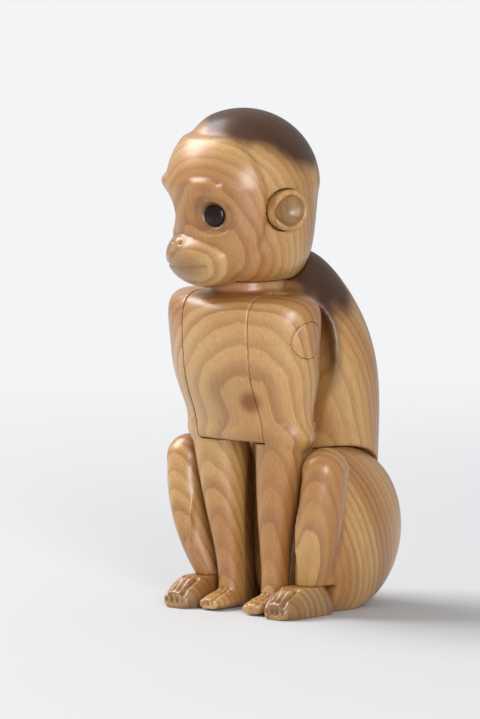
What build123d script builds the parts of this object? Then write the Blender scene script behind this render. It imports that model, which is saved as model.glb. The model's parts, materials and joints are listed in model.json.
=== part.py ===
from build123d import *
import os
from collections import namedtuple

# Seated wooden monkey that turns its head and swings its arms.
# Millimetres, +Z up, the monkey faces -Y and its left side is +X.
# The origin is on the floor, at the middle of the figure's box.

# A level section is an ellipse in a horizontal plane, upright sections face -Y.
Section = namedtuple("Section", "height side middle half_width half_depth")
Slice = namedtuple("Slice", "middle height half_width half_height")
Ball = namedtuple("Ball", "side middle height half_width half_depth half_height")

# Clearances
SEAM = 0.3
GLUE_GAP = 0.05
RUNNING_GAP = 0.06
FLOOR_GAP = 0.3

# Back, from the seat up to the nape, each height counted from the section below
SEAT = Section(height=0.0, side=0, middle=17.0, half_width=10.5, half_depth=14.0)
TAIL = Section(height=6.0, side=0, middle=18.0, half_width=15.0, half_depth=17.0)
RUMP = Section(height=18.0, side=0, middle=19.0, half_width=20.5, half_depth=16.8)
WAIST = Section(height=24.0, side=0, middle=18.5, half_width=22.5, half_depth=17.0)
RIBS = Section(height=18.0, side=0, middle=16.0, half_width=24.5, half_depth=18.5)
BLADES = Section(height=16.0, side=0, middle=12.5, half_width=24.0, half_depth=18.5)
WITHERS = Section(height=13.0, side=0, middle=10.5, half_width=18.5, half_depth=15.0)
NAPE = Section(height=9.0, side=0, middle=9.5, half_width=11.0, half_depth=10.0)
NAPE_TOP = Section(height=4.0, side=0, middle=9.0, half_width=5.0, half_depth=4.5)

# Chest and upper arms in one form, the collar counted from the shoulder axis, the rest downwards
COLLAR = Section(height=13.6, side=0, middle=-11.5, half_width=16.0, half_depth=5.0)
YOKE = Section(height=-1.4, side=0, middle=-11.6, half_width=24.4, half_depth=11.4)
DELTOID = Section(height=-3.7, side=0, middle=-11.8, half_width=27.4, half_depth=14.8)
SHOULDER = Section(height=-6.0, side=0, middle=-11.8, half_width=27.4, half_depth=15.6)
BREAST = Section(height=-8.5, side=0, middle=-11.4, half_width=26.6, half_depth=15.6)
MIDRIFF = Section(height=-10.0, side=0, middle=-10.4, half_width=25.0, half_depth=14.6)
BICEPS = Section(height=-10.0, side=0, middle=-9.2, half_width=23.0, half_depth=12.0)
ELBOW_CREASE = Section(height=-9.0, side=0, middle=-8.3, half_width=20.5, half_depth=9.2)
SHOULDER_Y = -12.5
SHOULDER_RISE = 2.0
SHOULDER_RADIUS = 16.8
CHEST_HALF_WIDTH = 13.0
CHEST_REACH = 32.0

# Forearm and hand, heights from the floor up and middles from the wrist forward
HAND_HEEL = Section(height=2.0, side=8.7, middle=-8.0, half_width=4.0, half_depth=5.0)
WRIST = Section(height=10.0, side=8.8, middle=-7.6, half_width=4.1, half_depth=4.6)
FOREARM = Section(height=18.0, side=10.4, middle=-8.6, half_width=6.0, half_depth=6.0)
UPPER_FOREARM = Section(height=15.0, side=12.0, middle=-8.3, half_width=7.8, half_depth=8.0)
ELBOW = Section(height=13.0, side=13.2, middle=-8.6, half_width=9.0, half_depth=10.2)
HAND_BACK = Slice(middle=-5.0, height=3.0, half_width=3.6, half_height=2.8)
KNUCKLES = Slice(middle=-6.5, height=3.0, half_width=4.2, half_height=3.0)
FINGERTIPS = Slice(middle=-7.5, height=1.8, half_width=3.4, half_height=1.6)

# Shoulder peg, its washer and the plug that hides it
PEG_RADIUS = 3.0
PEG_DEPTH = 10.5
PEG_HEAD_RADIUS = 4.8
PEG_HEAD_LENGTH = 2.2
PEG_GRIP = 4.0
PLUG_RADIUS = 5.6
WASHER_RADIUS = 8.0
WASHER_THICKNESS = 0.9
WASHER_RECESS = 0.7

# Thigh, shin and foot, the shin from the floor up and the foot from the heel forward
HIP_Y = 10.7
HIP_Z = 24.0
HIP_HALF_WIDTH = 12.0
THIGH_RADIUS = 25.3
THIGH_WALL = 6.0
THIGH_BULGE = 11.5
KNEE = Ball(side=27.4, middle=-6.0, height=15.0, half_width=6.8, half_depth=7.4, half_height=7.2)
CALF = Section(height=20.0, side=25.8, middle=-6.4, half_width=6.3, half_depth=7.4)
ANKLE = Section(height=9.0, side=20.2, middle=-4.0, half_width=4.6, half_depth=5.4)
HIP_DOWEL_RADIUS = 3.0
HIP_DOWEL_LENGTH = 16.0
HIP_DOWEL_Y = 17.0
HIP_DOWEL_PITCH = 14.0
ANKLE_DOWEL_RADIUS = 2.0
ANKLE_DOWEL_LENGTH = 11.0
HEEL = Slice(middle=0.8, height=1.5, half_width=4.4, half_height=4.0)
INSTEP = Slice(middle=-6.3, height=3.5, half_width=5.7, half_height=8.5)
TOE_ROOTS = Slice(middle=-7.5, height=3.4, half_width=6.0, half_height=7.0)
TOES = Slice(middle=-6.0, height=2.6, half_width=5.3, half_height=4.2)
TOE_TIPS = Slice(middle=-2.5, height=2.2, half_width=3.6, half_height=2.6)

# Neck
NECK_Y = -10.0
NECK_RISE = 16.7
NECK_RADIUS = 11.0
NECK_DOWEL_RADIUS = 4.5
NECK_DOWEL_IN_HEAD = 18.0
NECK_DOWEL_IN_TORSO = 11.0
NECK_RING_DROP = 6.5
NECK_RING_THICKNESS = 1.6

# Head, with heights above the neck's seat and middles from the neck's axis, then turned on it
HEAD_TURN = -16.0
HEAD_FOOT = Section(height=0.0, side=0, middle=-0.5, half_width=13.0, half_depth=13.4)
HEAD_LOW = Section(height=4.0, side=0, middle=-1.0, half_width=17.8, half_depth=18.0)
HEAD_JAW = Section(height=7.0, side=0, middle=-1.6, half_width=20.5, half_depth=20.8)
HEAD_ROOM = Ball(side=0, middle=0, height=11.0, half_width=21.2, half_depth=21.2, half_height=14.6)
CRANIUM = Ball(side=0, middle=-2.0, height=28.3, half_width=22.4, half_depth=23.4, half_height=22.7)
MUZZLE = Ball(side=0, middle=-13.44, height=7.4, half_width=14.0, half_depth=13.0, half_height=9.8)
BROW = Ball(side=0, middle=-18.2, height=29.5, half_width=15.5, half_depth=7.0, half_height=5.4)
EYE_HOLLOW = Ball(side=13.0, middle=-23.6, height=19.5, half_width=13.0, half_depth=6.5, half_height=7.4)
EYE_TURN = 30.0
EYE_SIDE = 10.0
EYE_MIDDLE = -18.1
EYE_HEIGHT = 20.4
EYE_RADIUS = 3.4
EYE_LENGTH = 5.0
EYE_DOME = 1.4
EAR_MIDDLE = 0.0
EAR_HEIGHT = 22.0
EAR_RADIUS = 6.2
EAR_RIM = 1.5
EAR_THICKNESS = 4.4
EAR_DISH = 2.4
EAR_FACE_X = 24.2
EAR_STUB_RADIUS = 1.6
EAR_STUB_LENGTH = 4.0


def level(section):
    """Ellipse in a horizontal plane."""
    spot = Pos(section.side, section.middle, section.height)
    return spot * Ellipse(section.half_width, section.half_depth)


def facing(origin):
    """Plane through a point that looks out of the monkey's front, with X and Z on it."""
    return Plane(origin=origin, x_dir=(1, 0, 0), z_dir=(0, -1, 0))


def upright(side, cut):
    """Ellipse in a plane that faces the front."""
    return facing((side, cut.middle, cut.height)) * Ellipse(cut.half_width, cut.half_height)


def ball(shape, turn=0.0):
    """Ellipsoid with its own three half lengths, turned about its upright axis."""
    unit = Sphere(radius=1)
    grown = scale(unit, by=(shape.half_width, shape.half_depth, shape.half_height))
    return Pos(shape.side, shape.middle, shape.height) * Rot(0, 0, turn) * grown


def rod(axis_y, axis_z, radius, x_from, x_to):
    """Round bar along X."""
    plane = Plane(origin=(x_from, axis_y, axis_z), x_dir=(0, 1, 0), z_dir=(1, 0, 0))
    return extrude(plane * Circle(radius), amount=x_to - x_from)


def post(axis_x, axis_y, radius, z_from, z_to):
    """Round bar along Z."""
    return extrude(Pos(axis_x, axis_y, z_from) * Circle(radius), amount=z_to - z_from)


def block(low, high):
    """Box between two corners."""
    size = [h - l for l, h in zip(low, high)]
    return Pos(*low) * Box(*size, align=(Align.MIN, Align.MIN, Align.MIN))


def in_turn(shapes, field, place=0.0):
    """The same shapes, with places that were each counted from the one before."""
    placed = []
    for shape in shapes:
        place += getattr(shape, field)
        placed.append(shape._replace(**{field: place}))
    return placed


def on_neck(shape):
    """A form of the head, moved to its place over the neck."""
    return shape._replace(middle=NECK_Y + shape.middle, height=head_seat_z + shape.height)


def mirrored(solid):
    """The same piece for the monkey's right side."""
    return mirror(solid, about=Plane.YZ)


# Past every piece
FAR = 120.0
neck_axis = Axis((0, NECK_Y, 0), (0, 0, 1))
hip_axis = Axis((0, HIP_Y, HIP_Z), (1, 0, 0))

back_sections = in_turn((SEAT, TAIL, RUMP, WAIST, RIBS, BLADES, WITHERS, NAPE, NAPE_TOP), "height")
blades_z = sum(s.height for s in (SEAT, TAIL, RUMP, WAIST, RIBS, BLADES))
shoulder_z = blades_z + SHOULDER_RISE
neck_seat_z = shoulder_z + NECK_RISE
arm_face_x = CHEST_HALF_WIDTH + SEAM
peg_head_x = arm_face_x + PEG_GRIP + SEAM
plug_x = peg_head_x + PEG_HEAD_LENGTH + SEAM
arm_back_y = SHOULDER_Y + SHOULDER_RADIUS
leg_face_x = HIP_HALF_WIDTH + GLUE_GAP
head_seat_z = neck_seat_z + SEAM
arm_room_x = ELBOW_CREASE.half_width + 2 * SEAM
arm_room_y = ELBOW_CREASE.middle + ELBOW_CREASE.half_depth + 2 * SEAM
hip_dowel_spots = [HIP_DOWEL_Y - HIP_DOWEL_PITCH / 2, HIP_DOWEL_Y + HIP_DOWEL_PITCH / 2]


def make_shoulder_form():
    """Chest and both upper arms before they are cut apart."""
    sections = (COLLAR, YOKE, DELTOID, SHOULDER, BREAST, MIDRIFF, BICEPS, ELBOW_CREASE)
    form = loft([level(s) for s in in_turn(sections, "height", shoulder_z)])
    swing = rod(SHOULDER_Y, shoulder_z, SHOULDER_RADIUS, -FAR, FAR)
    return form & (swing + block((-FAR, -FAR, 0), (FAR, FAR, shoulder_z)))


def make_arm_pocket():
    """Room beside the chest in which the left arm hangs and swings."""
    turn = rod(SHOULDER_Y, shoulder_z, SHOULDER_RADIUS + SEAM, CHEST_HALF_WIDTH, FAR)
    hang = block((CHEST_HALF_WIDTH, -FAR, 0), (FAR, arm_back_y + SEAM, shoulder_z))
    return turn + hang


def make_hip_pocket():
    """Flat on the left of the rump that the thigh is glued to."""
    turn = rod(HIP_Y, HIP_Z, THIGH_RADIUS + SEAM, HIP_HALF_WIDTH, FAR)
    below = block((HIP_HALF_WIDTH, -FAR, -FAR), (FAR, FAR, HIP_Z))
    return turn + below


def make_torso_bores():
    """Holes on the left of the torso for the shoulder peg, its washer and the hip dowels."""
    peg_end = CHEST_HALF_WIDTH - PEG_DEPTH
    bores = rod(SHOULDER_Y, shoulder_z, PEG_RADIUS + GLUE_GAP, peg_end, FAR)
    recess_x = CHEST_HALF_WIDTH - WASHER_RECESS
    bores += rod(SHOULDER_Y, shoulder_z, WASHER_RADIUS + SEAM, recess_x, FAR)
    dowel_end = HIP_HALF_WIDTH - HIP_DOWEL_LENGTH / 2
    for spot in hip_dowel_spots:
        bores += rod(spot, HIP_Z, HIP_DOWEL_RADIUS + GLUE_GAP, dowel_end, FAR)
    return bores


def make_torso(form):
    """Back, rump and chest in one block, with the seats of head, arms and legs."""
    back = loft([level(s) for s in back_sections])
    bowl = on_neck(HEAD_ROOM)
    arc = EllipticalCenterArc((0, 0), bowl.half_width, bowl.half_height, start_angle=-90, arc_size=180)
    bowl_face = facing((0, NECK_Y, bowl.height)) * make_face(arc + Line(arc @ 1, arc @ 0))
    head_room = revolve(bowl_face, axis=neck_axis)
    pockets = make_arm_pocket() + make_hip_pocket()
    back = back - head_room - pockets - mirrored(pockets)
    width = block((-CHEST_HALF_WIDTH, -FAR, 0), (CHEST_HALF_WIDTH, FAR, FAR))
    reach = rod(SHOULDER_Y, shoulder_z, CHEST_REACH, -CHEST_HALF_WIDTH, CHEST_HALF_WIDTH)
    chest = form & width & reach
    neck = post(0, NECK_Y, NECK_RADIUS, shoulder_z, neck_seat_z)
    torso = back + chest + neck
    bores = make_torso_bores()
    neck_bore_z = neck_seat_z - NECK_DOWEL_IN_TORSO - SEAM
    neck_bore = post(0, NECK_Y, NECK_DOWEL_RADIUS + RUNNING_GAP, neck_bore_z, FAR)
    washer_room = post(0, NECK_Y, WASHER_RADIUS + SEAM, neck_seat_z - WASHER_RECESS, FAR)
    return torso - bores - mirrored(bores) - neck_bore - washer_room


def make_arm(form):
    """Left arm from the shoulder to the hand on the floor."""
    chest_room = rod(SHOULDER_Y, shoulder_z, CHEST_REACH + SEAM, -FAR, arm_face_x)
    upper = form & block((arm_face_x, -FAR, 0), (FAR, FAR, FAR))
    sections = in_turn((HAND_HEEL, WRIST, FOREARM, UPPER_FOREARM, ELBOW), "height")
    lower = loft([level(s) for s in sections])
    slices = in_turn((HAND_BACK, KNUCKLES, FINGERTIPS), "middle")
    hand = loft([upright(HAND_HEEL.side, s) for s in slices])
    arm = upper + (lower - chest_room) + hand
    arm &= rod(SHOULDER_Y, shoulder_z, shoulder_z - FLOOR_GAP, 0, FAR)
    arm -= rod(SHOULDER_Y, shoulder_z, PEG_RADIUS + RUNNING_GAP, 0, FAR)
    return arm - rod(SHOULDER_Y, shoulder_z, PLUG_RADIUS + GLUE_GAP, arm_face_x + PEG_GRIP, FAR)


def make_shoulder_peg():
    """Turned peg that the left arm swings on, glued into the chest."""
    shank = rod(SHOULDER_Y, shoulder_z, PEG_RADIUS, CHEST_HALF_WIDTH - PEG_DEPTH, peg_head_x)
    cap = rod(SHOULDER_Y, shoulder_z, PEG_HEAD_RADIUS, peg_head_x, peg_head_x + PEG_HEAD_LENGTH)
    cap = fillet(cap.edges().sort_by(Axis.X)[-1], PEG_HEAD_LENGTH / 2)
    return shank + cap


def make_shoulder_plug(form):
    """Plug that closes the left arm's peg hole flush with the shoulder."""
    return rod(SHOULDER_Y, shoulder_z, PLUG_RADIUS, plug_x, FAR) & form


def make_shoulder_washer():
    """Leather washer that keeps the left arm where it is put."""
    x = CHEST_HALF_WIDTH - WASHER_RECESS
    disc = rod(SHOULDER_Y, shoulder_z, WASHER_RADIUS, x, x + WASHER_THICKNESS)
    return disc - rod(SHOULDER_Y, shoulder_z, PEG_RADIUS + RUNNING_GAP, x, FAR)


def make_foot():
    """Left foot, flat below, with a flat seat for the shin."""
    slices = in_turn((HEEL, INSTEP, TOE_ROOTS, TOES, TOE_TIPS), "middle")
    sole = loft([upright(ANKLE.side, s) for s in slices])
    foot = sole & block((0, -FAR, 0), (FAR, FAR, ANKLE.height - GLUE_GAP))
    return foot - make_ankle_dowel(GLUE_GAP)


def make_leg():
    """Left thigh, knee and shin."""
    plane = facing((leg_face_x, HIP_Y, HIP_Z))
    arc = EllipticalCenterArc((THIGH_WALL, 0), THIGH_BULGE, THIGH_RADIUS, start_angle=0, arc_size=90)
    outline = arc + Polyline(arc @ 1, (0, THIGH_RADIUS), (0, 0), arc @ 0)
    haunch = revolve(plane * make_face(outline), axis=hip_axis)
    ankle, calf, knee = in_turn((ANKLE, CALF, KNEE), "height")
    top = Section(knee.height, knee.side, knee.middle, knee.half_width - SEAM, knee.half_depth - SEAM)
    shin = loft([level(s) for s in (top, calf, ankle)]) + ball(knee)
    arm_room = block((0, -FAR, 0), (arm_room_x, arm_room_y, FAR))
    heel_room = block((0, -FAR, -FAR), (FAR, HEEL.middle + SEAM, ANKLE.height))
    floor = block((0, -FAR, -FAR), (FAR, FAR, 0))
    bores = make_ankle_dowel(GLUE_GAP)
    dowel_end = HIP_HALF_WIDTH + HIP_DOWEL_LENGTH / 2
    for spot in hip_dowel_spots:
        bores += rod(spot, HIP_Z, HIP_DOWEL_RADIUS + GLUE_GAP, 0, dowel_end)
    leg = haunch - arm_room - heel_room - floor - bores
    return leg + (shin - bores)


def make_hip_dowels():
    """Dowels that pin the left thigh to the rump."""
    reach = HIP_DOWEL_LENGTH / 2 - GLUE_GAP
    ends = (HIP_HALF_WIDTH - reach, HIP_HALF_WIDTH + reach)
    return [rod(spot, HIP_Z, HIP_DOWEL_RADIUS, *ends) for spot in hip_dowel_spots]


def make_ankle_dowel(grow=0.0):
    """Dowel that pins the left shin to its foot."""
    reach = ANKLE_DOWEL_LENGTH / 2 + grow
    ends = (ANKLE.height - reach, ANKLE.height + reach)
    return post(ANKLE.side, ANKLE.middle, ANKLE_DOWEL_RADIUS + grow, *ends)


def make_eye(grow=0.0):
    """Left eye, a dark peg with a domed face that looks a little outward."""
    radius = EYE_RADIUS + grow
    length = EYE_LENGTH + grow
    dome = EllipticalCenterArc((0, 0), radius, EYE_DOME, start_angle=-90, arc_size=90)
    outline = dome + Polyline(dome @ 1, (radius, length), (0, length), dome @ 0)
    spot = Pos(EYE_SIDE, NECK_Y + EYE_MIDDLE, head_seat_z + EYE_HEIGHT)
    return spot * Rot(0, 0, EYE_TURN) * revolve(make_face(outline), axis=Axis.Y)


def make_ear(grow=0.0):
    """Left ear, a dished disc on a stub, let into the side of the head."""
    y = NECK_Y + EAR_MIDDLE
    z = head_seat_z + EAR_HEIGHT
    back_x = EAR_FACE_X - EAR_THICKNESS
    disc = rod(y, z, EAR_RADIUS + grow, back_x - grow, EAR_FACE_X)
    stub = rod(y, z, EAR_STUB_RADIUS + grow, back_x - EAR_STUB_LENGTH - grow, back_x)
    if grow:
        return disc + stub
    disc = fillet(disc.edges().sort_by(Axis.X)[-1], EAR_RIM / 2)
    dish_radius = EAR_RADIUS - EAR_RIM
    dish = ball(Ball(EAR_FACE_X, y, z, EAR_DISH, dish_radius, dish_radius))
    return disc - dish + stub


def make_head():
    """Cranium, jaw, muzzle and brow, with the sockets of the eyes, ears and neck."""
    cranium = on_neck(CRANIUM)
    equator = Section(cranium.height, 0, cranium.middle, cranium.half_width, cranium.half_depth)
    jaws = [on_neck(s) for s in in_turn((HEAD_FOOT, HEAD_LOW, HEAD_JAW), "height")]
    lower = loft([level(s) for s in jaws + [equator]])
    dome = ball(cranium) & block((-FAR, -FAR, cranium.height), (FAR, FAR, 2 * FAR))
    head = lower + dome + ball(on_neck(MUZZLE)) + ball(on_neck(BROW))
    head -= post(0, NECK_Y, NECK_RADIUS + SEAM, 0, head_seat_z)
    head -= post(0, NECK_Y, NECK_DOWEL_RADIUS + GLUE_GAP, 0, head_seat_z + NECK_DOWEL_IN_HEAD)
    hollow = ball(on_neck(EYE_HOLLOW), EYE_TURN)
    for cut in (hollow, make_eye(GLUE_GAP), make_ear(GLUE_GAP)):
        head = head - cut - mirrored(cut)
    return head


def make_neck_dowel():
    """Dowel glued into the head that turns in the torso, with a groove for its ring."""
    low = neck_seat_z - NECK_DOWEL_IN_TORSO
    dowel = post(0, NECK_Y, NECK_DOWEL_RADIUS, low, head_seat_z + NECK_DOWEL_IN_HEAD - GLUE_GAP)
    return dowel - make_neck_ring(GLUE_GAP)


def make_neck_ring(grow=0.0):
    """Rubber ring that gives the head its friction."""
    height = NECK_RING_THICKNESS + 2 * grow
    low = neck_seat_z - NECK_RING_DROP - height / 2
    ring = post(0, NECK_Y, NECK_DOWEL_RADIUS, low, low + height)
    return ring - post(0, NECK_Y, NECK_DOWEL_RADIUS - NECK_RING_THICKNESS - grow, low, low + height)


def make_neck_washer():
    """Leather washer under the head."""
    low = neck_seat_z - WASHER_RECESS
    disc = post(0, NECK_Y, WASHER_RADIUS, low, low + WASHER_THICKNESS)
    return disc - post(0, NECK_Y, NECK_DOWEL_RADIUS + SEAM, low, FAR)


def main():
    """Build every piece and write one file for each."""
    form = make_shoulder_form()
    sided = {
        "arm": make_arm(form),
        "shoulder_peg": make_shoulder_peg(),
        "shoulder_plug": make_shoulder_plug(form),
        "shoulder_washer": make_shoulder_washer(),
        "leg": make_leg(),
        "foot": make_foot(),
        "eye": make_eye(),
        "ear": make_ear(),
    }
    hip_dowels = make_hip_dowels()
    ankle_dowel = make_ankle_dowel()
    pieces = {
        "torso": make_torso(form),
        "head": make_head(),
        "neck_dowel": make_neck_dowel(),
        "neck_ring": make_neck_ring(),
        "neck_washer": make_neck_washer(),
        "hip_dowels": Compound(hip_dowels + [mirrored(d) for d in hip_dowels]),
        "ankle_dowels": Compound([ankle_dowel, mirrored(ankle_dowel)]),
    }
    for name, piece in sided.items():
        pieces["left_" + name] = piece
        pieces["right_" + name] = mirrored(piece)
    for name in ("head", "left_eye", "right_eye", "left_ear", "right_ear"):
        pieces[name] = pieces[name].rotate(neck_axis, HEAD_TURN)
    os.makedirs("parts", exist_ok=True)
    for name, piece in pieces.items():
        export_step(piece, os.path.join("parts", name + ".step"))


main()
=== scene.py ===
import json
import math

import bmesh
import bpy
import numpy as np
from bpy.props import FloatProperty, FloatVectorProperty, IntProperty, PointerProperty
from mathutils import Matrix, Vector
from mathutils.bvhtree import BVHTree

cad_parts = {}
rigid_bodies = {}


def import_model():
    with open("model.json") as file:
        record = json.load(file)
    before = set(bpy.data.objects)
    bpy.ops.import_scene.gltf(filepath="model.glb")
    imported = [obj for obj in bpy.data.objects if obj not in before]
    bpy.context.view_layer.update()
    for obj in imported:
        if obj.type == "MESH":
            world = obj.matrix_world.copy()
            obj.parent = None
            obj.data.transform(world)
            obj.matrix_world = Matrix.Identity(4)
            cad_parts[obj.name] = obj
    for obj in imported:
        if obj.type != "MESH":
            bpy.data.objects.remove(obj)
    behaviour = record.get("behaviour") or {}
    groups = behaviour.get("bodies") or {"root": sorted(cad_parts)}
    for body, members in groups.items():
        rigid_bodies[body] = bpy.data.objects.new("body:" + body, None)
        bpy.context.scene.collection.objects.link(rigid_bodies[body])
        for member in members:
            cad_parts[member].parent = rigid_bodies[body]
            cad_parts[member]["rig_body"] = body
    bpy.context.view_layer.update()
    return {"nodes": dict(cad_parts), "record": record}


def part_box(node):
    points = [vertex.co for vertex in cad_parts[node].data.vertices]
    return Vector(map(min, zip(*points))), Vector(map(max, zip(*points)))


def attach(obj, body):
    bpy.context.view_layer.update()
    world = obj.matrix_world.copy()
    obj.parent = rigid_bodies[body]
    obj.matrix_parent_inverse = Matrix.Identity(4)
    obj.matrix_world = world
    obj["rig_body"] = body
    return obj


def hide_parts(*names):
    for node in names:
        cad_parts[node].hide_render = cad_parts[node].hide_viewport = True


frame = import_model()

bl_info = {
    "name": "Carved Monkey",
    "version": (1, 0, 0),
    "blender": (4, 5, 0),
    "location": "3D View > Sidebar > Monkey",
    "description": "Carves, finishes and stages a seated wooden monkey with a jointed head and arms",
    "category": "Object",
}

MM = 0.001
SIDES = {"left": 1, "right": -1}


def linear(red, green, blue):
    """A colour as seen on a screen, 0 to 255, as the shaders want it."""
    shares = [c / 255 for c in (red, green, blue)]
    return [c / 12.92 if c <= 0.04045 else ((c + 0.055) / 1.055) ** 2.4 for c in shares]


def length(name, description, default):
    """A size that the user can change, given in millimetres."""
    metres = default * MM
    return FloatProperty(name=name, description=description, default=metres, unit="LENGTH", precision=5)


def power(name, description, default):
    """A lamp's power that the user can change, given in watts."""
    return FloatProperty(name=name, description=description, default=default, unit="POWER")


def colour(name, description, *screen):
    """A colour that the user can change."""
    limits = {"subtype": "COLOR", "min": 0, "max": 1}
    return FloatVectorProperty(name=name, description=description, default=linear(*screen), **limits)


def angle(name, description, degrees):
    """An angle that the user can change, given in degrees."""
    return FloatProperty(name=name, description=description, default=math.radians(degrees), subtype="ANGLE")


class MonkeyCarving(bpy.types.PropertyGroup):
    """Sizes of the carver's work on the plain forms."""

    grain: length("Mesh size", "Edge length of the carved skins", 0.5)
    passes: IntProperty(name="Sanding passes", description="How far edges are rounded", default=10, min=0)
    fit: length("Fit", "Nearer than this to another piece nothing is sanded", 0.7)
    free: length("Free", "Further than this from other pieces the sanding is full", 3.0)
    rim: length("Face rim", "How far the hair lies below the rim of the face", 1.0)
    brow: length("Brow", "How far the brows stand out over the eyes", 0.7)
    lid: length("Lid", "How far the lids stand out round the eyes", 0.5)
    nose: length("Nose", "How far the nose stands out from the muzzle", 0.8)
    nostril: length("Nostril", "Depth of the nostrils", 0.9)
    mouth: length("Mouth", "Depth of the mouth line", 0.8)
    cheek: length("Cheek", "How far the cheeks stand out", 0.7)
    ear: length("Ear", "Depth of the shaping in the ears", 0.8)
    finger: length("Finger groove", "Depth of the grooves between fingers", 0.7)
    toe: length("Toe groove", "Depth of the grooves between toes", 0.9)


class MonkeyFinish(bpy.types.PropertyGroup):
    """Colours and figure of the wood and of the small pieces, and the colours of painted shade."""

    pale: colour("Pale wood", "Early wood of the body", 191, 148, 90)
    warm: colour("Warm wood", "Broad warmer bands in the body", 171, 121, 66)
    ring: colour("Ring line", "Late wood at the end of a year's ring", 130, 79, 36)
    # Heart: dark heart wood on the crown, with painted shade at the nape under the head and in the groove
    # between the arm and the back
    heart: colour("Heart", "Dark heart wood on the crown and the nape", 60, 32, 13)
    # Painted shade in grooves, hollows and gaps between pieces
    hollow_shade: colour("Hollows", "Lacquer gathered in grooves and hollows", 122, 64, 35)
    # Painted shade round the eyes, on the snout, in the ear dishes and on the feet near the floor
    socket: colour("Sockets", "Dark stain round the eyes", 58, 34, 19)
    eye: colour("Eyes", "Dark stained eye pegs", 30, 18, 12)
    dowel: colour("Dowels", "Plain turned dowels and pegs", 212, 184, 140)
    leather: colour("Leather", "Washers at the neck and the shoulders", 122, 80, 50)
    rubber: colour("Rubber", "Ring on the neck dowel", 30, 29, 28)
    spacing: length("Ring spacing", "Growth of one year", 2.3)


class MonkeyStudio(bpy.types.PropertyGroup):
    """Camera and light."""

    azimuth: angle("Azimuth", "Camera's turn round the figure, 0 in front of it", 42)
    elevation: angle("Elevation", "Camera's height over the horizon", 6.4)
    lens: FloatProperty(name="Lens", description="Focal length, millimetres", default=500, min=20)
    key: power("Key light", "Power of the lamp from the upper left", 18.0)
    front: power("Front light", "Power of the tall lamp in front", 7.6)
    sky: FloatProperty(name="Sky", description="Strength of the even light all round", default=0.48, min=0)
    floor: colour("Floor", "Floor under the figure", 200, 201, 203)
    backdrop: colour("Backdrop", "Backdrop behind the figure", 243, 244, 246)


def carving():
    return bpy.context.scene.monkey_carving


def finish():
    return bpy.context.scene.monkey_finish


def studio():
    return bpy.context.scene.monkey_studio


# Shader helpers


class Shader:
    """A node tree with short calls to add and join nodes."""

    def __init__(self, tree):
        self.tree = tree
        self.tree.nodes.clear()

    def add(self, kind, settings=None, **sockets):
        """A node with its settings, its sockets set or joined by name, with _ for a space."""
        node = self.tree.nodes.new(kind)
        for key, value in (settings or {}).items():
            setattr(node, key, value)
        for name, value in sockets.items():
            self.join(value, node.inputs[name.replace("_", " ")])
        return node

    def join(self, value, socket):
        if isinstance(value, bpy.types.NodeSocket):
            self.tree.links.new(value, socket)
        else:
            socket.default_value = value

    def math(self, operation, *values, clamp=False):
        node = self.add("ShaderNodeMath", {"operation": operation, "use_clamp": clamp})
        for socket, value in zip(node.inputs, values):
            self.join(value, socket)
        return node.outputs[0]

    def vector(self, operation, *values, scale=None):
        node = self.add("ShaderNodeVectorMath", {"operation": operation})
        for socket, value in zip(node.inputs, values):
            self.join(value, socket)
        if scale is not None:
            self.join(scale, node.inputs["Scale"])
        gives_number = operation in ("LENGTH", "DOT_PRODUCT", "DISTANCE")
        return node.outputs["Value" if gives_number else "Vector"]

    def ease(self, value, low, high, to_low=0.0, to_high=1.0):
        """Smooth step of a value from one level to another."""
        node = self.add("ShaderNodeMapRange", {"interpolation_type": "SMOOTHSTEP"}, Value=value)
        for name, level in (("From Min", low), ("From Max", high), ("To Min", to_low), ("To Max", to_high)):
            self.join(level, node.inputs[name])
        return node.outputs[0]

    def noise(self, vector, scale, detail=2.0, dimensions="3D"):
        node = self.add("ShaderNodeTexNoise", {"noise_dimensions": dimensions}, Scale=scale, Detail=detail)
        self.join(vector, node.inputs["W" if dimensions == "1D" else "Vector"])
        return node.outputs[0]

    def mix(self, share, first, second, blend="MIX"):
        """Colour between two colours."""
        node = self.add("ShaderNodeMix", {"data_type": "RGBA", "blend_type": blend})
        for socket, value in zip((node.inputs[0], node.inputs[6], node.inputs[7]), (share, first, second)):
            if not isinstance(value, (int, float, bpy.types.NodeSocket)):
                value = (*value, 1.0)
            self.join(value, socket)
        return node.outputs[2]


def shader_group(name, inputs, outputs):
    """An empty shader node group with named sockets, and its input node's sockets by name."""
    tree = bpy.data.node_groups.new(name, "ShaderNodeTree")
    shader = Shader(tree)
    for socket, kind, default in inputs:
        made = tree.interface.new_socket(socket, in_out="INPUT", socket_type=kind)
        if default is not None:
            made.default_value = default
    for socket in outputs:
        tree.interface.new_socket(socket, in_out="OUTPUT", socket_type="NodeSocketFloat")
    given = shader.add("NodeGroupInput").outputs
    result = shader.add("NodeGroupOutput").inputs
    return tree, shader, given, result


# Wood's figure: a stretch is the pattern's fineness along X, Y and the grain, per millimetre
DRIFT_FINENESS = 0.035
RIPPLE_STRETCH = (0.3, 0.3, 0.06)
RIPPLE = 0.9
# Late wood darkens from one share of the year to the other, and ends with the year
LATE_FROM = 0.25
LATE_PEAK = 0.93
YEAR_FINENESS = 1.7
YEAR_STRENGTHS = (0.35, 1.0)
BAND_FINENESS = 0.23
FIBRE_STRETCH = (2.6, 2.6, 0.09)
PORE_STRETCH = (4.2, 4.2, 0.22)
PORE_FROM = 0.66
PORE_FULL = 0.74
RAGGED_STRETCH = (0.12, 0.12, 0.05)


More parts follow.
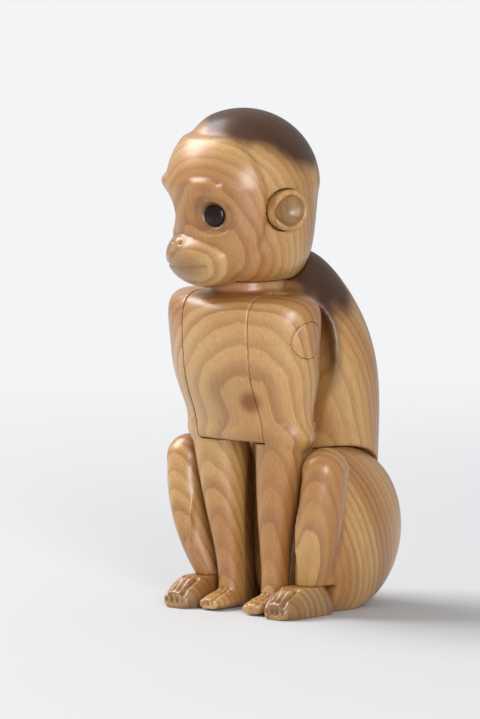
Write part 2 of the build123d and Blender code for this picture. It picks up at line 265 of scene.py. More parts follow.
def growth_rings():
    """Node group: yearly rings, broad bands, fibres and pores about a pith line."""
    inputs = [
        ("Vector", "NodeSocketVector", None),
        ("Pith", "NodeSocketVector", (0.0, 0.0, 0.0)),
        ("Turn", "NodeSocketVector", (0.0, 0.0, 0.0)),
        ("Spacing", "NodeSocketFloat", 2.3),
        ("Waviness", "NodeSocketFloat", 2.0),
    ]
    tree, s, given, result = shader_group("growth_rings", inputs, ["Rings", "Bands", "Fibres", "Pores"])
    placed = s.add("ShaderNodeMapping", {"vector_type": "TEXTURE"}, Vector=given["Vector"])
    s.join(given["Pith"], placed.inputs["Location"])
    s.join(given["Turn"], placed.inputs["Rotation"])
    along = placed.outputs[0]
    across = s.vector("LENGTH", s.vector("MULTIPLY", along, (1, 1, 0)))
    wander = s.math("SUBTRACT", s.noise(along, DRIFT_FINENESS, 2.0), 0.5)
    drift = s.math("MULTIPLY", wander, given["Waviness"])
    ripple = s.math("SUBTRACT", s.noise(s.vector("MULTIPLY", along, RIPPLE_STRETCH), 1.0, 3.0), 0.5)
    depth = s.math("ADD", s.math("ADD", across, drift), s.math("MULTIPLY", ripple, RIPPLE))
    years = s.math("DIVIDE", depth, given["Spacing"])
    season = s.math("FRACT", years)
    late = s.math("MULTIPLY", s.ease(season, LATE_FROM, LATE_PEAK), s.ease(season, LATE_PEAK, 1.0, 1.0, 0.0))
    strength = s.ease(s.noise(s.math("FLOOR", years), YEAR_FINENESS, 0.0, "1D"), 0.3, 0.7, *YEAR_STRENGTHS)
    s.join(s.math("MULTIPLY", late, strength), result["Rings"])
    bands = s.noise(s.math("MULTIPLY", years, BAND_FINENESS), 1.0, 1.0, "1D")
    s.join(s.ease(bands, 0.35, 0.65), result["Bands"])
    s.join(s.noise(s.vector("MULTIPLY", along, FIBRE_STRETCH), 1.0, 4.0), result["Fibres"])
    dashes = s.noise(s.vector("MULTIPLY", along, PORE_STRETCH), 1.0, 1.0)
    s.join(s.ease(dashes, PORE_FROM, PORE_FULL), result["Pores"])
    return tree


def heart_streak():
    """Node group: a soft mask about a line, for the dark heart of the wood."""
    inputs = [
        ("Vector", "NodeSocketVector", None),
        ("From", "NodeSocketVector", (0.0, 0.0, 0.0)),
        ("To", "NodeSocketVector", (0.0, 0.0, 1.0)),
        ("Radius", "NodeSocketFloat", 10.0),
        ("Softness", "NodeSocketFloat", 5.0),
        ("Ragged", "NodeSocketFloat", 9.0),
    ]
    tree, s, given, result = shader_group("heart_streak", inputs, ["Mask"])
    line = s.vector("SUBTRACT", given["To"], given["From"])
    reach = s.vector("SUBTRACT", given["Vector"], given["From"])
    square = s.vector("DOT_PRODUCT", line, line)
    part = s.math("DIVIDE", s.vector("DOT_PRODUCT", reach, line), square, clamp=True)
    nearest = s.vector("SCALE", line, scale=part)
    away = s.vector("DISTANCE", reach, nearest)
    stretched = s.vector("MULTIPLY", given["Vector"], RAGGED_STRETCH)
    ragged = s.math("SUBTRACT", s.noise(stretched, 1.0, 3.0), 0.5)
    away = s.math("ADD", away, s.math("MULTIPLY", ragged, given["Ragged"]))
    outer = s.math("ADD", given["Radius"], given["Softness"])
    s.join(s.ease(away, given["Radius"], outer, 1.0, 0.0), result["Mask"])
    return tree


def group(shader, name, maker):
    """A node that holds a shared group, which is made the first time."""
    tree = bpy.data.node_groups.get(name) or maker()
    return shader.add("ShaderNodeGroup", {"node_tree": tree})


def new_material(name):
    """A material with its shader and its output, and a vector in millimetres."""
    material = bpy.data.materials.new(name)
    material.use_nodes = True
    shader = Shader(material.node_tree)
    surface = shader.add("ShaderNodeBsdfPrincipled")
    shader.add("ShaderNodeOutputMaterial", Surface=surface.outputs[0])
    place = shader.add("ShaderNodeTexCoord").outputs["Object"]
    return material, shader, surface, shader.vector("SCALE", place, scale=1 / MM)


# The chest's ring figure opens where the surface faces along FIGURE_OUT
FIGURE_SPOT = Vector((11.7, -22.1, 65.0))
FIGURE_OUT = Vector((0.27, -0.89, -0.36)).normalized()
PITH_DISTANCE = 150.0
# Knot in the chest: how far it reaches in and out, radius, softness and raggedness
KNOT_IN = 12.0
KNOT_OUT = 4.0
KNOT = (1.2, 3.8, 2.5)
# Dark heart wood on the crown, dark heart wood with painted shade under the head at the nape, and painted
# shade in the groove between the arm and the back, each about a line: from, to, radius, softness and
# raggedness
HEART_AND_SHADE_LINES = (
    ((5.0, -15.0, 154.0), (12.0, -5.0, 147.0), 12.5, 6.0, 9.0),
    # Nape: dark heart wood and painted shade under the head
    ((9.0, 7.0, 106.0), (11.0, 10.0, 95.0), 6.5, 6.5, 9.0),
    # Painted shade in the groove between the arm and the back
    ((17.0, 4.0, 98.0), (24.0, 2.0, 62.0), 0.5, 5.0, 3.0),
)
# How strongly each darker colour covers the wood: late wood and pores, painted shade in hollows and gaps,
# and painted shade round eyes, snout, ears and feet
RING_SHARE = 0.62
PORE_SHARE = 0.35
HOLLOW_SHADE_SHARE = 0.6
PAINTED_SHADE_SHARE = 0.9
# Brightness, roughness and share of the heart's dark colour between the weakest and the strongest fibres
FIBRE_SHADES = (0.86, 1.06)
FIBRE_ROUGHNESS = (0.36, 0.5)
FIBRE_STAIN = (0.93, 1.0)
# Weight of the lacquer's coat, the share of it that dark wood soaks up, and its roughness
LACQUER = 0.7
SOAKED = 0.7
LACQUER_ROUGHNESS = 0.28
WOOD_SHINE = 0.4
# Relief of the fibres, and the pores' depth as a share of it
FIBRE_RELIEF = 0.08 * MM
FIBRE_RELIEF_STRENGTH = 0.35
PORE_DEPTH = 0.6
# Small pieces
MOTTLE_ROUGHNESS = 0.06
MOTTLE_STRENGTH = 0.4
PLAIN_SHINE = 0.3


def pith_place():
    """Point on the pith line and the turn that puts Z along it."""
    grain = (Vector((0, 0, 1)) - FIGURE_OUT * FIGURE_OUT.z).normalized()
    turn = grain.to_track_quat("Z", "Y").to_euler()
    return FIGURE_SPOT - FIGURE_OUT * PITH_DISTANCE, turn


def wood(name, pale, warm, ring, spacing, dark=True):
    """Lacquered wood with growth rings, pores and dark heart wood, and painted shade in hollows, gaps and
    grooves and round the eyes, snout, ears and feet.
    """
    material, s, surface, place = new_material(name)
    rings = group(s, "growth_rings", growth_rings)
    pith, turn = pith_place()
    s.join(place, rings.inputs["Vector"])
    for socket, value in (("Pith", pith), ("Turn", turn), ("Spacing", spacing)):
        rings.inputs[socket].default_value = value
    look = s.mix(rings.outputs["Bands"], pale, warm)
    look = s.mix(s.math("MULTIPLY", rings.outputs["Rings"], RING_SHARE), look, ring)
    fibre = s.ease(rings.outputs["Fibres"], 0.3, 0.7, *FIBRE_SHADES)
    shade = s.add("ShaderNodeCombineColor", Red=fibre, Green=fibre, Blue=fibre)
    look = s.mix(1.0, look, shade.outputs[0], "MULTIPLY")
    look = s.mix(s.math("MULTIPLY", rings.outputs["Pores"], PORE_SHARE), look, ring)
    rough = s.ease(rings.outputs["Fibres"], 0.2, 0.8, *FIBRE_ROUGHNESS)
    if dark:
        streaks = s.ease(rings.outputs["Fibres"], 0.25, 0.75, *FIBRE_STAIN)
        coat = LACQUER
        knot = (FIGURE_SPOT - FIGURE_OUT * KNOT_IN, FIGURE_SPOT + FIGURE_OUT * KNOT_OUT, *KNOT)
        # The knot and the crown are real dark wood; the nape is partly and the arm's groove wholly painted
        # shade
        for sizes, stained in ((knot, ring), *((heart, tuple(finish().heart)) for heart in HEART_AND_SHADE_LINES)):
            heart = group(s, "heart_streak", heart_streak)
            s.join(place, heart.inputs["Vector"])
            for socket, value in zip(("From", "To", "Radius", "Softness", "Ragged"), sizes):
                heart.inputs[socket].default_value = value
            look = s.mix(s.math("MULTIPLY", heart.outputs["Mask"], streaks), look, stained)
            remaining = s.math("MULTIPLY_ADD", heart.outputs["Mask"], -SOAKED, 1.0)
            coat = s.math("MULTIPLY", coat, remaining)
        s.join(coat, surface.inputs["Coat Weight"])
        # Painted shade in hollows and in gaps between pieces
        shade_in_hollows = s.add("ShaderNodeAttribute", {"attribute_name": "hollow_shade"}).outputs["Fac"]
        look = s.mix(s.math("MULTIPLY", shade_in_hollows, HOLLOW_SHADE_SHARE), look, tuple(finish().hollow_shade))
        # Painted shade round the eyes, on the snout, in the ear dishes and on the feet
        painted_shade = s.add("ShaderNodeAttribute", {"attribute_name": "painted_shade"}).outputs["Fac"]
        look = s.mix(s.math("MULTIPLY", painted_shade, PAINTED_SHADE_SHARE), look, tuple(finish().socket))
    s.join(look, surface.inputs["Base Color"])
    s.join(rough, surface.inputs["Roughness"])
    surface.inputs["Specular IOR Level"].default_value = WOOD_SHINE
    surface.inputs["Coat Roughness"].default_value = LACQUER_ROUGHNESS
    pits = s.math("MULTIPLY", rings.outputs["Pores"], PORE_DEPTH)
    height = s.math("SUBTRACT", rings.outputs["Fibres"], pits)
    relief = s.add("ShaderNodeBump", Strength=FIBRE_RELIEF_STRENGTH, Distance=FIBRE_RELIEF, Height=height)
    s.join(relief.outputs[0], surface.inputs["Normal"])
    return material


def plain(name, base, roughness, scale, relief, spread):
    """A small piece's material with mottled colour and a fine uneven surface."""
    material, s, surface, place = new_material(name)
    mottle = s.noise(place, scale, 4.0)
    darker = [c * (1 - spread) for c in base]
    s.join(s.mix(s.ease(mottle, 0.3, 0.7), base, darker), surface.inputs["Base Color"])
    limits = (roughness - MOTTLE_ROUGHNESS, roughness + MOTTLE_ROUGHNESS)
    s.join(s.ease(mottle, 0.25, 0.75, *limits), surface.inputs["Roughness"])
    surface.inputs["Specular IOR Level"].default_value = PLAIN_SHINE
    bump = s.add("ShaderNodeBump", Strength=MOTTLE_STRENGTH, Distance=relief * MM, Height=mottle)
    s.join(bump.outputs[0], surface.inputs["Normal"])
    return material


def material(slot):
    """The finish for a material slot, made the first time it is asked for."""
    name = slot + "_finish"
    found = bpy.data.materials.get(name)
    if found:
        return found
    looks = finish()
    spacing = looks.spacing / MM
    if slot == "body_wood":
        return wood(name, tuple(looks.pale), tuple(looks.warm), tuple(looks.ring), spacing)
    if slot == "dowel_wood":
        turned = tuple(looks.dowel)
        return wood(name, turned, turned, tuple(looks.ring), spacing / 2, dark=False)
    if slot == "eye_wood":
        return plain(name, tuple(looks.eye), roughness=0.22, scale=1.2, relief=0.02, spread=0.4)
    if slot == "washer_leather":
        return plain(name, tuple(looks.leather), roughness=0.75, scale=2.2, relief=0.12, spread=0.35)
    if slot == "ring_rubber":
        return plain(name, tuple(looks.rubber), roughness=0.6, scale=3.0, relief=0.04, spread=0.3)
    raise ValueError(f"no finish is made for {slot}")


# Carving helpers


def smooth(value, low, high):
    """Smooth step from 0 at low to 1 at high."""
    t = np.clip((value - low) / (high - low), 0, 1)
    return t * t * (3 - 2 * t)


def dome(distance):
    """1 at distance 0 and 0 from distance 1 on, smooth at both ends."""
    return np.clip(1 - distance**2, 0, 1) ** 2


def sanding_tree():
    """Geometry nodes: rounds a mesh off where the attribute named sand allows it, and keeps its volume."""
    tree = bpy.data.node_groups.new("sanding", "GeometryNodeTree")
    inputs = {"Geometry": "NodeSocketGeometry", "Passes": "NodeSocketInt", "Material": "NodeSocketMaterial"}
    for name, kind in inputs.items():
        tree.interface.new_socket(name, in_out="INPUT", socket_type=kind)
    tree.interface.new_socket("Geometry", in_out="OUTPUT", socket_type="NodeSocketGeometry")
    given = tree.nodes.new("NodeGroupInput")
    result = tree.nodes.new("NodeGroupOutput")
    links = tree.links
    sand = tree.nodes.new("GeometryNodeInputNamedAttribute")
    sand.data_type = "FLOAT"
    sand.inputs["Name"].default_value = "sand"
    place = tree.nodes.new("GeometryNodeInputPosition").outputs[0]

    def blur(vector):
        node = tree.nodes.new("GeometryNodeBlurAttribute")
        node.data_type = "FLOAT_VECTOR"
        links.new(vector, node.inputs["Value"])
        links.new(given.outputs["Passes"], node.inputs["Iterations"])
        links.new(sand.outputs["Attribute"], node.inputs["Weight"])
        return node.outputs["Value"]

    def vector(operation, first, second):
        node = tree.nodes.new("ShaderNodeVectorMath")
        node.operation = operation
        links.new(first, node.inputs[0])
        links.new(second, node.inputs[1])
        return node.outputs[0]

    rounded = blur(place)
    lost = blur(vector("SUBTRACT", place, rounded))
    move = tree.nodes.new("GeometryNodeSetPosition")
    links.new(given.outputs["Geometry"], move.inputs["Geometry"])
    links.new(vector("ADD", rounded, lost), move.inputs["Position"])
    real = tree.nodes.new("GeometryNodeRealizeInstances")
    links.new(move.outputs[0], real.inputs[0])
    dress = tree.nodes.new("GeometryNodeSetMaterial")
    links.new(real.outputs[0], dress.inputs["Geometry"])
    links.new(given.outputs["Material"], dress.inputs["Material"])
    links.new(dress.outputs[0], result.inputs[0])
    return tree


def evaluated(obj):
    """The object's mesh with its modifiers, which are then removed."""
    graph = bpy.context.evaluated_depsgraph_get()
    mesh = bpy.data.meshes.new_from_object(obj.evaluated_get(graph))
    obj.modifiers.clear()
    obj.data = mesh
    return mesh


def others_tree(node):
    """Search tree over every other piece's faces."""
    points, faces = [], []
    for name, other in frame["nodes"].items():
        if name == node:
            continue
        start = len(points)
        points.extend(v.co.copy() for v in other.data.vertices)
        faces.extend([start + i for i in p.vertices] for p in other.data.polygons)
    return BVHTree.FromPolygons(points, faces)


# Painted shade is full in gaps from twice near to middle, in millimetres, and none under near or beyond far
GAP_NEAR = 0.5
GAP_MIDDLE = 2.0
GAP_FAR = 9.0
GAP_SHADE_SHARE = 0.5
GAP_PASSES = 10
# How squarely a surface has to face the other piece, from not at all to fully
FACING_FROM = 0.3
FACING_FULL = 0.8
# A surface this far below its surroundings, in millimetres, counts as fully sunk and gets full painted shade
HOLLOW_DEPTH = 0.35
HOLLOW_PASSES = 30


class Skin:
    """A piece's surface as arrays in millimetres, with the carver's tools."""

    def __init__(self, obj):
        self.mesh = obj.data
        count = len(self.mesh.vertices)
        places = np.empty(count * 3, np.float32)
        normals = np.empty(count * 3, np.float32)
        edges = np.empty(len(self.mesh.edges) * 2, np.int32)
        self.mesh.vertices.foreach_get("co", places)
        self.mesh.vertices.foreach_get("normal", normals)
        self.mesh.edges.foreach_get("vertices", edges)
        self.at = places.reshape(-1, 3).astype(float) / MM
        self.out = normals.reshape(-1, 3).astype(float)
        self.ends = edges.reshape(-1, 2)
        self.links = np.bincount(self.ends.ravel(), minlength=count)
        self.painted_shade = np.zeros(count)
        self.gap = np.zeros(count)

    def turn(self, radians, axis_y):
        """Turns the surface about an upright axis in the middle plane."""
        spin = np.array(Matrix.Rotation(radians, 3, "Z"))
        middle = np.array((0, axis_y, 0))
        self.at = (self.at - middle) @ spin.T + middle
        self.out = self.out @ spin.T

    def push(self, height):
        """Moves the surface outwards by a height at each point."""
        self.at += self.out * np.asarray(height)[:, None]

    def swell(self, centre, radii, height):
        """A soft mound about a centre, or a pit where the height is negative."""
        away = np.linalg.norm((self.at - np.array(centre)) / np.array(radii), axis=1)
        self.push(height * dome(away))

    def groove(self, points, width, depth):
        """A soft groove along straight runs between points."""
        nearest = np.full(len(self.at), np.inf)
        for first, last in zip(points[:-1], points[1:]):
            start = np.array(first, float)
            run = np.array(last, float) - start
            part = np.clip((self.at - start) @ run / (run @ run), 0, 1)
            away = np.linalg.norm(self.at - start - part[:, None] * run, axis=1)
            nearest = np.minimum(nearest, away)
        self.push(-depth * dome(nearest / width))

    def blur(self, values, passes):
        """Values averaged with their neighbours'."""
        for _ in range(passes):
            total = np.zeros_like(values)
            for column in range(values.shape[1]):
                line = values[:, column]
                total[:, column] = np.bincount(self.ends[:, 0], line[self.ends[:, 1]], len(line))
                total[:, column] += np.bincount(self.ends[:, 1], line[self.ends[:, 0]], len(line))
            values = (values + total) / (1 + self.links)[:, None]
        return values

    def shade(self, near):
        """Marks painted shade where the surface faces another piece across a narrow gap."""
        gaps = np.full(len(self.at), GAP_FAR)
        facing = np.zeros(len(self.at))
        for i, place in enumerate(self.at):
            spot, _, _, reach = near.find_nearest(Vector(place * MM), GAP_FAR * MM)
            if reach:
                gaps[i] = reach / MM
                facing[i] = (np.array(spot) / MM - place) @ self.out[i] / gaps[i]
        seen = smooth(gaps, GAP_NEAR, 2 * GAP_NEAR) * (1 - smooth(gaps, GAP_MIDDLE, GAP_FAR))
        seen *= smooth(facing, FACING_FROM, FACING_FULL)
        self.gap = self.blur(seen[:, None], GAP_PASSES)[:, 0]

    def write(self, node):
        """Puts the surface back inside the piece's own box, with painted shade marked in its hollows and
        gaps and where the carving put it.
        """
        low, high = (np.array(c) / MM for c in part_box(node))
        self.at = np.clip(self.at, low, high)
        # Painted shade: darker where the surface is sunk below its surroundings or faces another piece
        sunk = self.blur(self.at, HOLLOW_PASSES) - self.at
        hollow_shade = np.clip(np.einsum("ij,ij->i", sunk, self.out) / HOLLOW_DEPTH, 0, 1)
        hollow_shade = np.maximum(hollow_shade, GAP_SHADE_SHARE * self.gap)
        self.mesh.vertices.foreach_set("co", (self.at * MM).astype(np.float32).ravel())
        for name, values in (("hollow_shade", hollow_shade), ("painted_shade", self.painted_shade)):
            mark = self.mesh.attributes.new(name, "FLOAT", "POINT")
            mark.data.foreach_set("value", values.astype(np.float32))
        self.mesh.update()


def body_of(node):
    """Name of the body that a node rides on."""
    return frame["nodes"][node]["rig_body"]


# Points nearer than this, in metres, are one point
SAME_POINT = 1e-7


def rough_out(node, near, finish_name, mesh_size):
    """A copy of a plain form with an even mesh, its free edges rounded off."""
    mesh = frame["nodes"][node].data.copy()
    work = bmesh.new()
    work.from_mesh(mesh)
    bmesh.ops.remove_doubles(work, verts=work.verts, dist=SAME_POINT)
    work.to_mesh(mesh)
    work.free()
    obj = bpy.data.objects.new(node + "_carved", mesh)
    bpy.context.scene.collection.objects.link(obj)
    remesh = obj.modifiers.new("even", "REMESH")
    remesh.mode = "VOXEL"
    remesh.voxel_size = mesh_size
    mesh = evaluated(obj)
    sizes = carving()
    reach = 2 * sizes.free
    gaps = [near.find_nearest(v.co, reach)[3] for v in mesh.vertices]
    gaps = np.array([reach if gap is None else gap for gap in gaps])
    sand = mesh.attributes.new("sand", "FLOAT", "POINT")
    sand.data.foreach_set("value", smooth(gaps, sizes.fit, sizes.free).astype(np.float32))
    tree = bpy.data.node_groups.get("sanding") or sanding_tree()
    sanding = obj.modifiers.new("sanding", "NODES")
    sanding.node_group = tree
    sockets = {item.name: item.identifier for item in tree.interface.items_tree if item.in_out == "INPUT"}
    sanding[sockets["Passes"]] = sizes.passes
    sanding[sockets["Material"]] = material(finish_name)
    mesh = evaluated(obj)
    mesh.attributes.remove(mesh.attributes["sand"])
    mesh.polygons.foreach_set("use_smooth", [True] * len(mesh.polygons))
    return obj


# Mesh size of a kind of piece, as a share of the common one
MESH_SHARES = {"torso": 1.2, "head": 0.75, "arm": 0.72, "foot": 0.7, "ear": 0.4, "eye": 0.3}


def carve(node, cut=None, finish_name="body_wood"):
    """Makes the carved piece that stands for a plain form."""
    near = others_tree(node)
    kind = node.split("_")[-1]
    obj = rough_out(node, near, finish_name, carving().grain * MESH_SHARES.get(kind, 1.0))
    skin = Skin(obj)
    skin.shade(near)
    if cut:
        cut(skin)
    skin.write(node)
    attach(obj, body_of(node))
    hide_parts(node)
    return obj


# Face, ears, hands and feet, in millimetres, the head as it is when it looks straight ahead

HEAD_TURN = math.radians(-16)
NECK_Y = -10.0
EYE = (10.0, -28.1, 121.4)
EYE_OUT = (0.5, -0.866, 0.0)
HEAD_Y = -12.0
FACE_ROUND = 23.0
LOBE_ARC = 15.5
LOBE_HALF_WIDTH = 14.5
LOBE_Z = 123.5
LOBE_HALF_HEIGHT = 20.0
# Where the rim's step begins, is deepest and ends, as shares of the lobe's half size
RIM_FROM = 0.98
RIM_DEEPEST = 1.12
RIM_END = 1.9
JAW_Z = 108.0
CHEEK_TOP_Z = 115.0
RIM_TOP_Z = 145.5
CROWN_Z = 150.5
BROW = (9.0, -32.5, 130.0)
BROW_REACH = (9.0, 6.0, 3.6)
LID_RADIUS = 4.6
LID_WIDTH = 1.6
# Painted shade round each eye reaches this far
SOCKET_RADIUS = 7.5
SOCKET_BACK = -6.0
SOCKET_FRONT = -3.0
NOSE = (0.0, -35.2, 113.4)
NOSE_REACH = (4.2, 4.0, 3.0)
NOSTRIL = (1.9, -35.8, 112.8)
NOSTRIL_REACH = (1.1, 2.0, 0.9)
MUZZLE_Y = -23.4
MUZZLE_HALF_WIDTH = 14.0
MUZZLE_HALF_DEPTH = 13.0
# Painted shade over the snout
SNOUT = np.array((0.0, -33.0, 106.0))
SNOUT_REACH = np.array((15.0, 13.0, 11.0))
SNOUT_SHADE = 0.58
MOUTH_Z = 105.2
MOUTH_RISE = 0.7
MOUTH_SWEEP = 48
MOUTH_STEP = 4
MOUTH_WIDTH = 1.2
CHEEK = (13.0, -25.0, 110.5)
CHEEK_REACH = (6.0, 6.0, 5.5)
EAR = np.array((24.2, -10.0, 123.0))
EAR_DISH_RADIUS = 4.7
EAR_EDGE = 0.6
# Painted shade in the middle of the ear's dish
EAR_SHADE = 0.45
EAR_HOLLOW = EAR + (-1.8, -0.6, -0.6)
EAR_HOLLOW_REACH = (4.0, 4.2, 4.2)
EAR_FRONT = EAR + (-0.4, -5.2, -0.8)
EAR_FRONT_REACH = (3.6, 3.4, 4.4)
EAR_FRONT_DEPTHS = 1.3
# Grooves between fingers and toes, each along a line of places in Y and Z from the knuckle to the tip
HAND_SIDE = 8.7
FINGER_STEP = 1.9
FINGER_WIDTH = 1.0
FINGER_LINE = ((-12.5, 6.0), (-17.0, 4.4), (-19.4, 1.6))
FOOT_SIDE = 20.2
TOE_STEP = 2.1
TOE_WIDTH = 1.1
TOE_LINE = ((-14.5, 8.6), (-19.5, 6.2), (-21.6, 2.0))
# Painted shade on the feet, strongest at the sole
FOOT_SHADE = 0.42
ANKLE_Z = 12.0
SOLE_Z = 5.0


def cut_face(skin):
    """Rim of the hair, brows, lids, cheeks, nose and mouth, with painted shade round the eyes and on the
    snout.
    """
    sizes = carving()
    skin.turn(-HEAD_TURN, NECK_Y)
    x, y, z = skin.at.T
    arc = np.arctan2(np.abs(x), HEAD_Y - y) * FACE_ROUND
    lobe = np.hypot((arc - LOBE_ARC) / LOBE_HALF_WIDTH, (z - LOBE_Z) / LOBE_HALF_HEIGHT)
    lobe = np.where(arc < LOBE_ARC, np.abs(z - LOBE_Z) / LOBE_HALF_HEIGHT, lobe)
    step = smooth(lobe, RIM_FROM, RIM_DEEPEST) * (1 - smooth(lobe, RIM_DEEPEST, RIM_END))
    step *= smooth(z, JAW_Z, CHEEK_TOP_Z)
    skin.push(-sizes.rim / MM * step * smooth(z, CROWN_Z, RIM_TOP_Z))
    for side in SIDES.values():
        mirror = np.array((side, 1, 1))
        skin.swell(BROW * mirror, BROW_REACH, sizes.brow / MM)
        reach = skin.at - EYE * mirror
        outward = np.array(EYE_OUT) * mirror
        along = reach @ outward
        away = np.linalg.norm(reach - along[:, None] * outward, axis=1)
        front = smooth(along, SOCKET_BACK, SOCKET_FRONT)
        skin.push(sizes.lid / MM * dome((away - LID_RADIUS) / LID_WIDTH) * front)
        # Painted shade in the eye socket
        skin.painted_shade = np.maximum(skin.painted_shade, dome(away / SOCKET_RADIUS) * front)
        skin.swell(CHEEK * mirror, CHEEK_REACH, sizes.cheek / MM)
    skin.swell(NOSE, NOSE_REACH, sizes.nose / MM)
    for side in SIDES.values():
        skin.swell(NOSTRIL * np.array((side, 1, 1)), NOSTRIL_REACH, -sizes.nostril / MM)
    lips = []
    for degrees in range(-MOUTH_SWEEP, MOUTH_SWEEP + 1, MOUTH_STEP):
        turn = math.radians(degrees)
        out = MUZZLE_Y - MUZZLE_HALF_DEPTH * math.cos(turn)
        rise = MOUTH_RISE * (degrees / MOUTH_SWEEP) ** 2
        lips.append((MUZZLE_HALF_WIDTH * math.sin(turn), out, MOUTH_Z + rise))
    skin.groove(lips, MOUTH_WIDTH, sizes.mouth / MM)
    # Painted shade over the snout
    snout = np.linalg.norm((skin.at - SNOUT) / SNOUT_REACH, axis=1)
    skin.painted_shade = np.maximum(skin.painted_shade, SNOUT_SHADE * dome(snout))
    skin.turn(HEAD_TURN, NECK_Y)


def cut_ear(skin, side):
    """A deeper dish, a rim that runs out towards the face, and painted shade in the dish."""
    depth = carving().ear / MM
    mirror = np.array((side, 1, 1))
    skin.turn(-HEAD_TURN, NECK_Y)
    _, y, z = (skin.at - EAR * mirror).T
    inside = smooth(np.hypot(y, z), EAR_DISH_RADIUS + EAR_EDGE, EAR_DISH_RADIUS - EAR_EDGE)
    skin.swell(EAR_HOLLOW * mirror, EAR_HOLLOW_REACH, -depth)
    skin.swell(EAR_FRONT * mirror, EAR_FRONT_REACH, -EAR_FRONT_DEPTHS * depth)
    # Painted shade in the middle of the dish
    skin.painted_shade = np.maximum(skin.painted_shade, EAR_SHADE * inside)
    skin.turn(HEAD_TURN, NECK_Y)


def cut_fingers(skin, side):
    """Grooves between four fingers."""
    for step in (-1, 0, 1):
        x = side * (HAND_SIDE + step * FINGER_STEP)
        skin.groove([(x, *point) for point in FINGER_LINE], FINGER_WIDTH, carving().finger / MM)


def cut_toes(skin, side):
    """Grooves between five toes, and painted shade that fades upwards from the sole."""
    for step in (-1.5, -0.5, 0.5, 1.5):
        x = side * (FOOT_SIDE + step * TOE_STEP)
        skin.groove([(x, *point) for point in TOE_LINE], TOE_WIDTH, carving().toe / MM)
    # Painted shade, darker towards the sole
    skin.painted_shade = FOOT_SHADE * smooth(skin.at[:, 2], ANKLE_Z, SOLE_Z)


class MONKEY_OT_torso(bpy.types.Operator):
    """Carve the back, the rump and the chest"""

    bl_idname = "monkey.torso"
    bl_label = "Torso"

    def execute(self, context):
        carve("torso")
        return {"FINISHED"}


class MONKEY_OT_head(bpy.types.Operator):
    """Carve the head with its face"""

    bl_idname = "monkey.head"
    bl_label = "Head"

    def execute(self, context):
        carve("head", cut_face)
        return {"FINISHED"}


class MONKEY_OT_arms(bpy.types.Operator):
    """Carve both arms and their fingers"""

    bl_idname = "monkey.arms"
    bl_label = "Arms"

    def execute(self, context):
        for name, side in SIDES.items():
            carve(name + "_arm", lambda skin: cut_fingers(skin, side))
            carve(name + "_shoulder_plug")
        return {"FINISHED"}


class MONKEY_OT_legs(bpy.types.Operator):
    """Carve both legs"""

    bl_idname = "monkey.legs"
    bl_label = "Legs"

    def execute(self, context):
        for name in SIDES:
            carve(name + "_leg")
        return {"FINISHED"}


class MONKEY_OT_feet(bpy.types.Operator):
    """Carve both feet and their toes"""

    bl_idname = "monkey.feet"
    bl_label = "Feet"

    def execute(self, context):
        for name, side in SIDES.items():
            carve(name + "_foot", lambda skin: cut_toes(skin, side))
        return {"FINISHED"}


class MONKEY_OT_ears(bpy.types.Operator):
    """Carve both ears"""

    bl_idname = "monkey.ears"
    bl_label = "Ears"

    def execute(self, context):
        for name, side in SIDES.items():
            carve(name + "_ear", lambda skin: cut_ear(skin, side))
        return {"FINISHED"}


class MONKEY_OT_eyes(bpy.types.Operator):
    """Polish both eyes"""

    bl_idname = "monkey.eyes"
    bl_label = "Eyes"

    def execute(self, context):
        for name in SIDES:
            carve(name + "_eye", finish_name="eye_wood")
        return {"FINISHED"}


class MONKEY_OT_joint_pieces(bpy.types.Operator):
    """Finish the dowels, pegs, washers and the ring inside the joints"""

    bl_idname = "monkey.joint_pieces"
    bl_label = "Joint pieces"

    def execute(self, context):
        for row in frame["record"]["subparts"]:
            obj = frame["nodes"][row["node"]]
            if not obj.hide_render:
                obj.data.materials.clear()
                obj.data.materials.append(material(row["material_slot"]))
        return {"FINISHED"}


# Stage

PHOTO_SIZE = (480, 719)
ORIGIN_PIXEL = (270.6, 607.0)
PIXEL = 0.302 * MM
SENSOR = 36.0
# Floor and the ring in which it fades, in millimetres
FLOOR_SEGMENTS = 96
FLOOR_ROUGHNESS = 0.9
FLOOR_RADIUS = 6000.0
FADE_FROM = 150.0
FADE_TO = 650.0
# Lamps, in metres along the camera's right, up and back, with width and height
KEY_PLACE = (-0.75, 1.0, -0.18)
KEY_SIZE = (0.8, 0.8)
FRONT_PLACE = (0.22, 0.2, 1.1)
FRONT_SIZE = (0.3, 0.6)
LAMP_TARGET = Vector((0, 0, 0.08))


def view_axes():
    """Right, up and back of the camera."""
    turn, rise = studio().azimuth, studio().elevation
    right = Vector((math.cos(turn), math.sin(turn), 0))
    back = Vector((math.sin(turn) * math.cos(rise), -math.cos(turn) * math.cos(rise), math.sin(rise)))
    return right, back.cross(right), back


def aim(obj, place, target):
    """Puts a lamp or a camera at a place and turns it to a target."""
    obj.location = place
    obj.rotation_euler = (target - place).to_track_quat("-Z", "Y").to_euler()
    bpy.context.scene.collection.objects.link(obj)
    return obj


def make_camera():
    """Camera at the photograph's angle, framed on the figure."""
    right, up, back = view_axes()
    across = (PHOTO_SIZE[0] / 2 - ORIGIN_PIXEL[0]) * PIXEL
    over = (ORIGIN_PIXEL[1] - PHOTO_SIZE[1] / 2) * PIXEL
    target = right * across + up * over
    data = bpy.data.cameras.new("camera")
    data.sensor_width = SENSOR
    data.lens = studio().lens
    distance = max(PHOTO_SIZE) * PIXEL * data.lens / SENSOR
    camera = aim(bpy.data.objects.new("camera", data), target + back * distance, target)
    bpy.context.scene.camera = camera


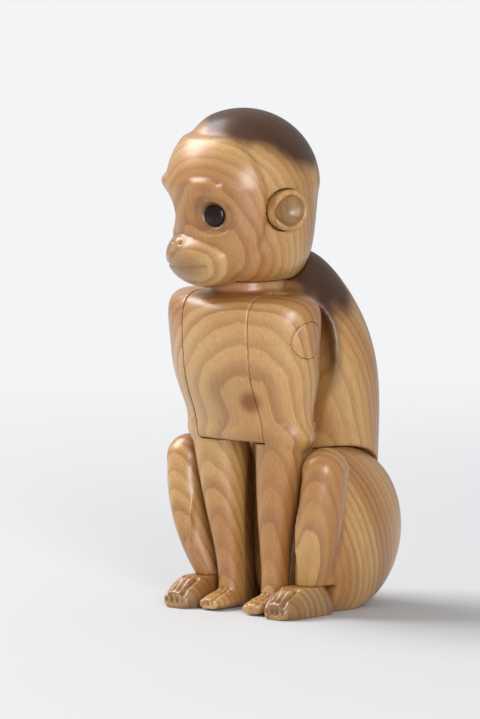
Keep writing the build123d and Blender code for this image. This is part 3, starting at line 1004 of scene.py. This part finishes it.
def make_lamp(name, place, size, watts):
    """A panel lamp that faces the figure, placed from the camera's axes."""
    data = bpy.data.lights.new(name, "AREA")
    data.shape = "RECTANGLE"
    data.size, data.size_y = size
    data.energy = watts
    spot = sum((axis * reach for axis, reach in zip(view_axes(), place)), Vector())
    aim(bpy.data.objects.new(name, data), spot, LAMP_TARGET)


def make_floor():
    """Round floor that fades into the backdrop away from the figure."""
    mesh = bpy.data.meshes.new("floor")
    work = bmesh.new()
    bmesh.ops.create_circle(work, cap_ends=True, segments=FLOOR_SEGMENTS, radius=FLOOR_RADIUS * MM)
    work.to_mesh(mesh)
    work.free()
    floor = bpy.data.objects.new("floor", mesh)
    bpy.context.scene.collection.objects.link(floor)
    paint, shader, surface, place = new_material("floor_paint")
    surface.inputs["Base Color"].default_value = (*studio().floor, 1)
    surface.inputs["Roughness"].default_value = FLOOR_ROUGHNESS
    glow = shader.add("ShaderNodeEmission", Color=(*studio().backdrop, 1))
    seen = shader.add("ShaderNodeLightPath").outputs["Is Camera Ray"]
    away = shader.vector("LENGTH", place)
    part = shader.math("MULTIPLY", seen, shader.ease(away, FADE_FROM, FADE_TO))
    both = shader.add("ShaderNodeMixShader", Fac=part)
    shader.join(surface.outputs[0], both.inputs[1])
    shader.join(glow.outputs[0], both.inputs[2])
    shader.join(both.outputs[0], paint.node_tree.nodes["Material Output"].inputs["Surface"])
    mesh.materials.append(paint)


def make_sky():
    """Even light all round, with the backdrop's colour where the camera sees it."""
    world = bpy.data.worlds.new("sky")
    world.use_nodes = True
    shader = Shader(world.node_tree)
    light = shader.add("ShaderNodeBackground", Color=(1, 1, 1, 1), Strength=studio().sky)
    backdrop = shader.add("ShaderNodeBackground", Color=(*studio().backdrop, 1), Strength=1.0)
    seen = shader.add("ShaderNodeLightPath").outputs["Is Camera Ray"]
    both = shader.add("ShaderNodeMixShader", Fac=seen)
    shader.join(light.outputs[0], both.inputs[1])
    shader.join(backdrop.outputs[0], both.inputs[2])
    shader.add("ShaderNodeOutputWorld", Surface=both.outputs[0])
    bpy.context.scene.world = world


class MONKEY_OT_stage(bpy.types.Operator):
    """Set up the floor, the light and the camera"""

    bl_idname = "monkey.stage"
    bl_label = "Stage"

    def execute(self, context):
        context.scene.view_settings.view_transform = "Standard"
        make_camera()
        make_floor()
        make_sky()
        make_lamp("key", KEY_PLACE, KEY_SIZE, studio().key)
        make_lamp("front", FRONT_PLACE, FRONT_SIZE, studio().front)
        return {"FINISHED"}


OPERATORS = (
    MONKEY_OT_torso,
    MONKEY_OT_head,
    MONKEY_OT_arms,
    MONKEY_OT_legs,
    MONKEY_OT_feet,
    MONKEY_OT_ears,
    MONKEY_OT_eyes,
    MONKEY_OT_joint_pieces,
    MONKEY_OT_stage,
)


class MONKEY_PT_panel(bpy.types.Panel):
    """The monkey's settings and steps"""

    bl_idname = "MONKEY_PT_panel"
    bl_label = "Carved Monkey"
    bl_space_type = "VIEW_3D"
    bl_region_type = "UI"
    bl_category = "Monkey"

    def draw(self, context):
        for settings in (carving(), finish(), studio()):
            box = self.layout.box()
            for name in settings.__annotations__:
                box.prop(settings, name)
        for step in OPERATORS:
            self.layout.operator(step.bl_idname)


SETTINGS = {"monkey_carving": MonkeyCarving, "monkey_finish": MonkeyFinish, "monkey_studio": MonkeyStudio}


def register():
    for made in (*SETTINGS.values(), *OPERATORS, MONKEY_PT_panel):
        bpy.utils.register_class(made)
    for name, made in SETTINGS.items():
        setattr(bpy.types.Scene, name, PointerProperty(type=made))


def unregister():
    for name in SETTINGS:
        delattr(bpy.types.Scene, name)
    for made in (*SETTINGS.values(), *OPERATORS, MONKEY_PT_panel):
        bpy.utils.unregister_class(made)


def main():
    """Builds the whole scene."""
    register()
    for step in OPERATORS:
        getattr(bpy.ops.monkey, step.bl_idname.split(".")[1])()


if __name__ == "__main__":
    main()
